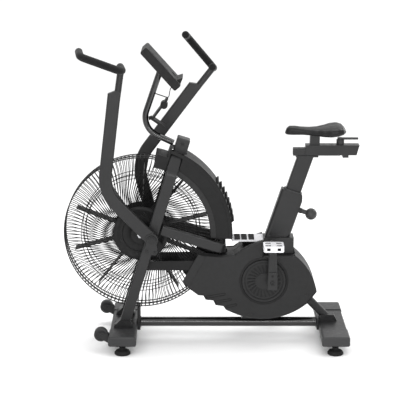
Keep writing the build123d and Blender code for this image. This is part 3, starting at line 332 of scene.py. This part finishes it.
def slab(shell, outline, y_low, y_high):
    """A flat plate from a side-view outline."""
    count = len(outline)
    points = [(x, y, z) for y in (y_low, y_high) for x, z in outline]
    faces = [list(range(count)), list(range(count, 2 * count))[::-1]]
    faces += [[k, (k + 1) % count, count + (k + 1) % count, count + k] for k in range(count)]
    shell.add(points, faces)


def bolt_head(shell, place, axis, radius, height):
    """A domed hexagon-socket screw head on a washer."""
    lathe(shell, place, axis, [(radius * out, height * up) for out, up in SCREW_SECTION], steps=24)


def raised(profile, base):
    """A profile of (radius, rise) with every rise counted from a base height."""
    return [(radius, base + rise) for radius, rise in profile]


def piece(name, shell, body, slot, bevel=0.0, subdivide=0):
    """Turns a shell into a shaded object that rides on a body."""
    mesh = bpy.data.meshes.new(name)
    mesh.from_pydata(shell.points, [], shell.faces)
    tidy = bmesh.new()
    tidy.from_mesh(mesh)
    bmesh.ops.remove_doubles(tidy, verts=tidy.verts, dist=MERGE_DISTANCE)
    bmesh.ops.dissolve_degenerate(tidy, edges=tidy.edges, dist=SLIVER_LENGTH)
    bmesh.ops.recalc_face_normals(tidy, faces=tidy.faces)
    tidy.to_mesh(mesh)
    tidy.free()
    mesh.materials.append(MATERIALS[slot])
    mesh.shade_smooth()
    mesh.set_sharp_from_angle(angle=radians(SHARP_ANGLE))
    made = bpy.data.objects.new(name, mesh)
    bpy.context.collection.objects.link(made)
    if bevel:
        edge = made.modifiers.new("edge", "BEVEL")
        edge.width = bevel
        edge.segments = BEVEL_STEPS
        edge.limit_method = "ANGLE"
    if subdivide:
        fine = made.modifiers.new("fine", "SUBSURF")
        fine.levels = fine.render_levels = subdivide
    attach(made, body)
    return made


def around(radius, angle, y):
    """A point at a radius and an angle above +X about the fan's axle."""
    return (FAN.x + radius * cos(radians(angle)), y, FAN.z + radius * sin(radians(angle)))


# ---------------------------------------------------------------- the fan's guard
WIRES = 120
WIRE_R = 0.0018
HUB_R = 0.121
SWIRL = 22                     # degrees that a wire turns between the hub plate and the rim
SWIRL_FADE = 2.2               # how fast the swirl straightens on its way out
FACE_Y = 0.052
WIRE_STEPS = 10
WIRE_TUCK = 0.006              # length of wire under the hub plate's edge
RIM_BEND = 0.010               # distance from the rim at which a wire bends over it
# the bend over the rim: depth behind the face, distance in from the rim
RIM_COURSE = ((0.006, 0.005), (0.014, 0.0026), (0.030, 0.0022), (FACE_Y - 0.0025, 0.0022))
FACE_RINGS = (0.247, 0.262)
FACE_RING_R = 0.0017
RIM_HOOPS = (FACE_Y - 0.012, 0.0034)
RIM_HOOP_R = 0.0026
RIM_HOOP_INSET = 0.0029
HOOP_STEPS = 120
# the hub plate's section: radius, distance from the middle plane
HUB_SECTION = ((0.019, 0.0525), (HUB_R - 0.001, 0.0485), (HUB_R, 0.051), (HUB_R - 0.004, 0.0545),
               (0.104, 0.0560), (0.099, 0.0530), (0.082, 0.0530), (0.078, 0.0575), (0.052, 0.0580),
               (0.048, 0.0555), (0.034, 0.0555), (0.030, 0.0580), (0.019, 0.0580))
HUB_SCREWS = 6
HUB_SCREW_RING, HUB_SCREW_FACE = 0.0905, 0.0531
HUB_SCREW_START = 20           # degrees
HUB_SCREW_R, HUB_SCREW_TALL = 0.0045, 0.0042


def guard_wire_path(start, side):
    """A wire leaves the hub plate on a swirl, runs straight out, and bends over the rim."""
    path = []
    inner, outer = HUB_R - WIRE_TUCK, GUARD_R - RIM_BEND
    for step in range(WIRE_STEPS + 1):
        out = step / WIRE_STEPS
        radius = inner + (outer - inner) * out
        path.append(around(radius, start + SWIRL * (1 - out) ** SWIRL_FADE, side * (FACE_Y - 0.002)))
    for drop, inset in RIM_COURSE:
        path.append(around(GUARD_R - inset, start, side * (FACE_Y - drop)))
    return path


def hoop(radius, y):
    """Points round the fan's axle."""
    return [around(radius, 360 * k / HOOP_STEPS, y) for k in range(HOOP_STEPS)]


def make_guard(name, side):
    """One half of the guard: swirling wires, ring wires, rim hoops, hub plate and its screws."""
    shell = Shell()
    for index in range(WIRES):
        wire(shell, guard_wire_path(360 * index / WIRES, side), WIRE_R, sides=5)
    for radius in FACE_RINGS:
        wire(shell, hoop(radius, side * (FACE_Y - 0.0042)), FACE_RING_R, closed=True)
    for y in RIM_HOOPS:
        wire(shell, hoop(GUARD_R - RIM_HOOP_INSET, side * y), RIM_HOOP_R, sides=8, closed=True)
    guard = piece(f"{name}_guard_wires", shell, "frame", "guard_wire")
    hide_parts(f"{name}_cage")

    plate = Shell()
    lathe(plate, (FAN.x, 0, FAN.z), (0, side, 0), HUB_SECTION, steps=128)
    piece(f"{name}_hub_plate", plate, "frame", "shroud_plastic")
    nuts = Shell()
    for k in range(HUB_SCREWS):
        place = around(HUB_SCREW_RING, HUB_SCREW_START + 360 * k / HUB_SCREWS, side * HUB_SCREW_FACE)
        bolt_head(nuts, place, (0, side, 0), HUB_SCREW_R, HUB_SCREW_TALL)
    piece(f"{name}_hub_screws", nuts, "frame", "black_steel")


# ---------------------------------------------------------------- saddle
SADDLE_LOW, SADDLE_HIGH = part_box("saddle")
SADDLE_LEN = SADDLE_HIGH[0] - SADDLE_LOW[0]
SADDLE_TALL = SADDLE_HIGH[2] - SADDLE_LOW[2]
SADDLE_STEPS = 64
SEAM_HEIGHT = 0.42             # the side seam's height, a share from belly to top
ROUND_PLAN, ROUND_TOP, ROUND_BELLY = 0.72, 0.62, 0.55    # lower is squarer
BELLY_TAPER = 0.12
CHANNEL_START, CHANNEL_SPAN = 0.30, 0.66                 # shares of the length
CHANNEL_DEPTH, CHANNEL_HALF = 0.0035, 0.011
PIPING_R, PIPING_STEPS = 0.0013, 60
STITCH_R, STITCH_STEPS = 0.0004, 150
STITCH_TURN = 0.30             # radians above the side seam
# along the saddle from nose to tail: half width, top and belly as shares of length and height
SADDLE_FORM = ((0.000, 0.012, 0.42, 0.24), (0.025, 0.055, 0.66, 0.17), (0.07, 0.088, 0.80, 0.15),
               (0.15, 0.104, 0.80, 0.15), (0.28, 0.113, 0.73, 0.16), (0.40, 0.140, 0.70, 0.14),
               (0.52, 0.195, 0.71, 0.10), (0.64, 0.275, 0.79, 0.06), (0.76, 0.345, 0.91, 0.07),
               (0.86, 0.355, 0.95, 0.14), (0.94, 0.315, 0.86, 0.24), (0.985, 0.215, 0.68, 0.34),
               (1.000, 0.120, 0.54, 0.40))


def between(table, share):
    """The table's row at a share of the length, smoothed between its neighbours."""
    for before, after in zip(table, table[1:]):
        if share <= after[0]:
            part = (share - before[0]) / (after[0] - before[0])
            part = part * part * (3 - 2 * part) * 0.5 + part * 0.5
            return [a + (b - a) * part for a, b in zip(before, after)]
    return list(table[-1])


def eased(step, steps):
    """A share of the saddle's length: steps lie closer together at the nose and the tail."""
    return (1 - cos(pi * step / steps)) / 2


def saddle_point(share, turn):
    """A point on the saddle's skin: share runs from nose to tail, turn goes round the section."""
    _, half, top, belly = between(SADDLE_FORM, share)
    half *= SADDLE_LEN
    high, low = SADDLE_LOW[2] + top * SADDLE_TALL, SADDLE_LOW[2] + belly * SADDLE_TALL
    seam = low + (high - low) * SEAM_HEIGHT
    flat, rise = cos(turn), sin(turn)
    width = half * (abs(flat) ** ROUND_PLAN) * (1 if flat >= 0 else -1)
    if rise >= 0:
        height = seam + (high - seam) * rise ** ROUND_TOP
        along = min(1, max(0, (share - CHANNEL_START) / CHANNEL_SPAN))
        height -= CHANNEL_DEPTH * max(0, sin(pi * along)) * max(0, 1 - (width / CHANNEL_HALF) ** 2)
    else:
        height = seam - (seam - low) * abs(rise) ** ROUND_BELLY
        width *= 1 - BELLY_TAPER * abs(rise)
    return Vector((SADDLE_LOW[0] + share * SADDLE_LEN, width, height))


def make_saddle():
    """A crowned vinyl seat with a centre channel, piping round its side seam and rows of stitches."""
    stations, sides = SADDLE_STEPS, SADDLE_STEPS
    skin = Shell()
    points = []
    for i in range(stations + 1):
        share = eased(i, stations)
        points += [saddle_point(share, 2 * pi * k / sides) for k in range(sides)]
    faces = []
    for i in range(stations):
        for k in range(sides):
            after = (k + 1) % sides
            faces.append([i * sides + k, (i + 1) * sides + k, (i + 1) * sides + after, i * sides + after])
    faces.append(list(range(sides)))
    faces.append([stations * sides + k for k in range(sides)][::-1])
    skin.add(points, faces)
    seat = piece("saddle_cover", skin, "saddle", "saddle_skin", subdivide=1)
    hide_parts("saddle")

    seam, thread = Shell(), Shell()
    edge = []
    for side in (LEFT, RIGHT):
        turn = 0 if side == RIGHT else pi
        run = [saddle_point(eased(i, PIPING_STEPS), turn) for i in range(PIPING_STEPS + 1)]
        edge += run if side == RIGHT else run[::-1]
    wire(seam, edge, PIPING_R, sides=8, closed=True)
    piece("saddle_piping", seam, "saddle", "saddle_skin")
    rise = Vector((0, 0, STITCH_R))
    for lift in (STITCH_TURN, pi - STITCH_TURN):
        run = [saddle_point(0.03 + 0.94 * i / STITCH_STEPS, lift) for i in range(STITCH_STEPS + 1)]
        for start, end in zip(run[0:-1:2], run[1::2]):
            wire(thread, [start + rise, (start + end) / 2 + rise * 1.8, end + rise], STITCH_R, sides=5)
    piece("saddle_stitches", thread, "saddle", "saddle_skin")


# ---------------------------------------------------------------- plastic parts
def band(shell, r_low, r_high, a_low, a_high, y_low, y_high, steps=48):
    """A flat curved strip about the fan's axle."""
    outline = []
    for k in range(steps + 1):
        x, _, z = around(r_high, a_low + (a_high - a_low) * k / steps, 0)
        outline.append((x, z))
    for k in range(steps, -1, -1):
        x, _, z = around(r_low, a_low + (a_high - a_low) * k / steps, 0)
        outline.append((x, z))
    count = len(outline)
    half = count // 2
    points = [(x, y, z) for y in (y_low, y_high) for x, z in outline]
    faces = [[k, (k + 1) % count, count + (k + 1) % count, count + k] for k in range(count)]
    for k in range(half - 1):
        for start, flip in ((0, False), (count, True)):
            quad = [start + k, start + k + 1, start + count - 2 - k, start + count - 1 - k]
            faces.append(quad[::-1] if flip else quad)
    shell.add(points, faces)


SHROUD_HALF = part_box("fan_shroud")[1][1]
BORDER_RISE = 0.0022
BORDER_START = -2.6            # degrees above +X, as the ends are
INNER_BORDER = (0.308, 0.331)
OUTER_BORDER = (0.386, 0.400)
INNER_END, OUTER_END = 62, 70


def make_shroud_borders():
    """Raised borders along the shroud's inner and outer edges."""
    for name, side in SIDES.items():
        low, high = sorted((side * (SHROUD_HALF + 0.0001), side * (SHROUD_HALF + BORDER_RISE)))
        inner, outer = Shell(), Shell()
        band(inner, *INNER_BORDER, BORDER_START, INNER_END, low, high)
        band(outer, *OUTER_BORDER, BORDER_START, OUTER_END, low, high)
        piece(f"{name}_shroud_inner_border", inner, "frame", "cover_plastic", bevel=0.0008)
        piece(f"{name}_shroud_outer_border", outer, "frame", "shroud_plastic", bevel=0.0008)


COVER_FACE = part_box("right_chain_cover")[1][1]
VENT_MID = middle("vent_discs")
# the finger slots: both ends of each, in the side view
VENT_SLOTS = (((-0.014, 0.214), (0.060, 0.227)), ((0.027, 0.191), (0.086, 0.202)),
              ((0.074, 0.169), (0.111, 0.178)))


SLOT_R, LIP_R = 0.0048, 0.0017
VENT_GAPS = 24
# one gap's outline: radius and angle in radians
GAP_OUTLINE = ((0.0385, -0.03), (0.0385, 0.05), (0.056, 0.12), (0.0745, 0.20), (0.0745, 0.08), (0.056, 0.03))
GAP_RISE = (0.001, 0.0021)
# sections of the vent's rim bead and groove ring, both in the darker paint as painted shade of its outer and
# inner grooves: radius, rise above the cover's face
OUTER_SHADE_SECTION = ((0.0965, -0.0004), (0.1085, -0.0004), (0.1078, 0.0012), (0.105, 0.0022), (0.1, 0.0022),
               (0.0975, 0.0012))
INNER_SHADE_SECTION = ((0.0828, 0.001), (0.0872, 0.001), (0.0870, 0.0046), (0.0850, 0.0050), (0.0830, 0.0046))
# the facet's outline in the side view, how far each corner stands out, and how deep it is rooted
FACET_OUTLINE = ((-0.0545, 0.4085), (-0.1245, 0.2845), (-0.0960, 0.2640), (-0.0200, 0.4000))
FACET_RISES = (0.0002, 0.0002, 0.0042, 0.0042)
FACET_ROOT = 0.001


def capsule(start, end, radius, y, steps=10):
    """Points round a long slot in the side view."""
    heading = atan2(end[1] - start[1], end[0] - start[0])
    path = []
    for centre, first in ((end, heading - pi / 2), (start, heading + pi / 2)):
        for k in range(steps + 1):
            turn = first + pi * k / steps
            path.append((centre[0] + radius * cos(turn), y, centre[1] + radius * sin(turn)))
    return path


def make_finger_slots(name, side):
    """Raised loops round a cover's finger slots, in the darker paint as painted shade along the slot edges.
    """
    slot_shade_loops = Shell()
    for start, end in VENT_SLOTS:
        wire(slot_shade_loops, capsule(start, end, SLOT_R, side * COVER_FACE), LIP_R, sides=8, closed=True)
    piece(f"{name}_cover_slot_shade", slot_shade_loops, "frame", "fan_paint")


def make_vent(name, side):
    """A cover's round vent: a rim bead and a groove ring in the darker paint as painted shade of its two
    grooves, and dark slabs as painted shade in the gaps between its vanes.
    """
    centre, out = (VENT_MID.x, 0, VENT_MID.z), (0, side, 0)
    rim, gaps = Shell(), Shell()
    # the rim bead in the darker paint: painted shade of the vent's outer groove
    lathe(rim, centre, out, raised(OUTER_SHADE_SECTION, COVER_FACE), steps=128)
    piece(f"{name}_vent_outer_groove_shade", rim, "frame", "fan_paint")
    y_low, y_high = sorted(side * (COVER_FACE + rise) for rise in GAP_RISE)
    # dark slabs between the vanes: painted shade of the openings
    for k in range(VENT_GAPS):
        turn = 2 * pi * k / VENT_GAPS
        outline = [(VENT_MID.x + reach * cos(turn + lead), VENT_MID.z + reach * sin(turn + lead))
                   for reach, lead in GAP_OUTLINE]
        slab(gaps, outline, y_low, y_high)
    # the groove ring in the darker paint: painted shade of the vent's inner groove
    lathe(gaps, centre, out, raised(INNER_SHADE_SECTION, COVER_FACE), steps=128)
    piece(f"{name}_vent_gap_shade", gaps, "frame", "fan_paint")


def make_facet(name, side):
    """The slanted facet at a cover's front edge."""
    facet = Shell()
    points = [(x, side * (COVER_FACE - FACET_ROOT), z) for x, z in FACET_OUTLINE]
    points += [(x, side * (COVER_FACE + rise), z) for (x, z), rise in zip(FACET_OUTLINE, FACET_RISES)]
    edges = [[k, (k + 1) % 4, 4 + (k + 1) % 4, 4 + k] for k in range(4)]
    facet.add(points, [[0, 1, 2, 3], [7, 6, 5, 4]] + edges)
    piece(f"{name}_cover_facet", facet, "frame", "cover_plastic", bevel=0.0008)


def make_cover_details():
    """Finger slots, vent and facet of both chain covers."""
    for name, side in SIDES.items():
        make_finger_slots(name, side)
        make_vent(name, side)
        make_facet(name, side)


CONSOLE_TILT = 48              # degrees that the display's face tips from level towards the rider
KEY_RING_RISE = 0.0012
# the key ring's section: radius, height
KEY_RING_SECTION = ((0.0116, 0), (0.0150, 0), (0.0145, 0.0012), (0.0122, 0.0014))


def make_key_ring():
    """A raised ring round the console's key."""
    key_low, key_high = (Vector(corner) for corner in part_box("start_key"))
    normal = Vector((sin(radians(CONSOLE_TILT)), 0, cos(radians(CONSOLE_TILT))))
    ring = Shell()
    top = (key_low + key_high) / 2 + normal * KEY_RING_RISE
    lathe(ring, top, normal, KEY_RING_SECTION, steps=48)
    piece("key_ring", ring, "frame", "shroud_plastic")


STEP_PAD_X = (0.118, 0.148, 0.180)
RIB_ROWS = 9
RIB_HALF, RIB_R = 0.0095, 0.0009


def make_step_ribs():
    """Grip ribs on the three step pads."""
    low, high = (Vector(corner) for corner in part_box("step_pads"))
    ribs = Shell()
    for row in range(RIB_ROWS):
        y = low.y + (high.y - low.y) * (row + 1) / (RIB_ROWS + 1)
        for x in STEP_PAD_X:
            wire(ribs, [(x - RIB_HALF, y, high.z), (x + RIB_HALF, y, high.z)], RIB_R, sides=8)
    piece("step_pad_ribs", ribs, "frame", "rubber")


# ---------------------------------------------------------------- metal details
BEAD_R = 0.0018
BEAD_STEPS, BEAD_RIPPLES = 144, 36
BEAD_OUT = 0.0009              # how far the bead's middle stands off the tube
CRANK_BLOCK_HALF = 0.0225
CRANK_BLOCK_TAPER = 0.86
CRANK_BLOCK_ENDS = (0.033, -0.048)     # from the axle, away from the pedal and towards it
CRANK_BLOCK_ROOT, CRANK_BLOCK_RISE = 0.0010, 0.0045
AXLE_SCREW = (0.009, 0.006)            # radius and height, as for the other screws
CLAMP_SCREW = (0.0042, 0.004)
CLAMP_SCREW_DROP = 0.030
CORE_INSET = Vector((0.006, 0.004, 0.0035))
FOOT_PLATE_X, FOOT_PLATE_T = -0.385, 0.0091
FOOT_SCREW_X, FOOT_SCREW_Y = (-0.036, 0.036), (0.072, 0.112)
FOOT_SCREW = (0.0055, 0.006)
HEAD_SCREW_PLACE = (-0.131, 0.868)
HEAD_SCREW_Z = (-0.026, 0.026)
HEAD_LEAN = 0.3                # run for each unit of rise
HEAD_SCREW = (0.006, 0.006)


def weld_ring(shell, centre, axis, radius):
    """A rippled weld bead round a tube's end."""
    centre, axis = Vector(centre), Vector(axis).normalized()
    across = axis.orthogonal().normalized()
    up = axis.cross(across)
    path = []
    for k in range(BEAD_STEPS):
        turn = 2 * pi * k / BEAD_STEPS
        reach = radius + BEAD_OUT * (1 + 0.5 * sin(turn * BEAD_RIPPLES))
        path.append(centre + (across * cos(turn) + up * sin(turn)) * reach)
    wire(shell, path, BEAD_R, sides=6, closed=True)


def make_welds():
    """Beads at both ends of the floor rail."""
    low, high = (Vector(corner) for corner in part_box("floor_rail"))
    radius = (high.z - low.z) / 2
    beads = Shell()
    for x in (low.x + 0.0012, high.x - 0.0012):
        weld_ring(beads, (x, (low.y + high.y) / 2, (low.z + high.z) / 2), (1, 0, 0), radius)
    piece("rail_weld_beads", beads, "frame", "frame_paint")


def make_crank_caps():
    """A moulded block over each crank's root, its clamp screw and the axle's end screw."""
    for name, side in SIDES.items():
        low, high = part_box(f"{name}_crank")
        face = high[1] if side == RIGHT else low[1]
        y_low, y_high = sorted((face - side * CRANK_BLOCK_ROOT, face + side * CRANK_BLOCK_RISE))
        block = Shell()
        z_low, z_high = sorted(CRANK.z + side * end for end in CRANK_BLOCK_ENDS)
        half, narrow = CRANK_BLOCK_HALF, CRANK_BLOCK_HALF * CRANK_BLOCK_TAPER
        slab(block, [(CRANK.x - half, z_low), (CRANK.x + half, z_low), (CRANK.x + narrow, z_high),
                     (CRANK.x - narrow, z_high)], y_low, y_high)
        piece(f"{name}_crank_block", block, "crank", "frame_paint", bevel=0.0022)
        heads = Shell()
        outside = y_low if side == LEFT else y_high
        bolt_head(heads, (CRANK.x, outside, CRANK.z), (0, side, 0), *AXLE_SCREW)
        bolt_head(heads, (CRANK.x, outside, CRANK.z - side * CLAMP_SCREW_DROP), (0, side, 0), *CLAMP_SCREW)
        piece(f"{name}_crank_screws", heads, "crank", "black_steel")


def make_pedal_cores():
    """The dark moulded core that shows in each pedal's windows."""
    for name in SIDES:
        low, high = (Vector(corner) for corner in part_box(f"{name}_pedal"))
        low, high = low + CORE_INSET, high - CORE_INSET
        core = Shell()
        slab(core, [(low.x, low.z), (high.x, low.z), (high.x, high.z), (low.x, high.z)], low.y, high.y)
        piece(f"{name}_pedal_core", core, f"{name}_pedal", "rubber", bevel=0.001)


def make_bolts():
    """Screws on the foot plates of the side frames and on the head block."""
    shell = Shell()
    plate_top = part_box("front_stabiliser")[1][2] + FOOT_PLATE_T
    head_low, head_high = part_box("head_block")
    head_x, head_z = HEAD_SCREW_PLACE
    for side in SIDES.values():
        for along_x in FOOT_SCREW_X:
            for y in FOOT_SCREW_Y:
                bolt_head(shell, (FOOT_PLATE_X + along_x, side * y, plate_top), (0, 0, 1), *FOOT_SCREW)
        face = head_high[1] if side == RIGHT else head_low[1]
        for rise in HEAD_SCREW_Z:
            bolt_head(shell, (head_x + HEAD_LEAN * rise, face, head_z + rise), (0, side, 0), *HEAD_SCREW)
    piece("frame_screws", shell, "frame", "black_steel")


def dress_cad_nodes():
    """Every CAD node takes the finish of its material slot."""
    for entry in frame["record"]["subparts"]:
        node = frame["nodes"][entry["node"]]
        node.data.materials.clear()
        node.data.materials.append(MATERIALS[entry["material_slot"]])


aim_camera()
lay_floor()
light_studio()
MATERIALS = make_materials()
dress_cad_nodes()
for side_name, side_sign in SIDES.items():
    make_guard(side_name, side_sign)
make_saddle()
make_shroud_borders()
make_cover_details()
make_key_ring()
make_step_ribs()
make_bolts()
make_welds()
make_crank_caps()
make_pedal_cores()
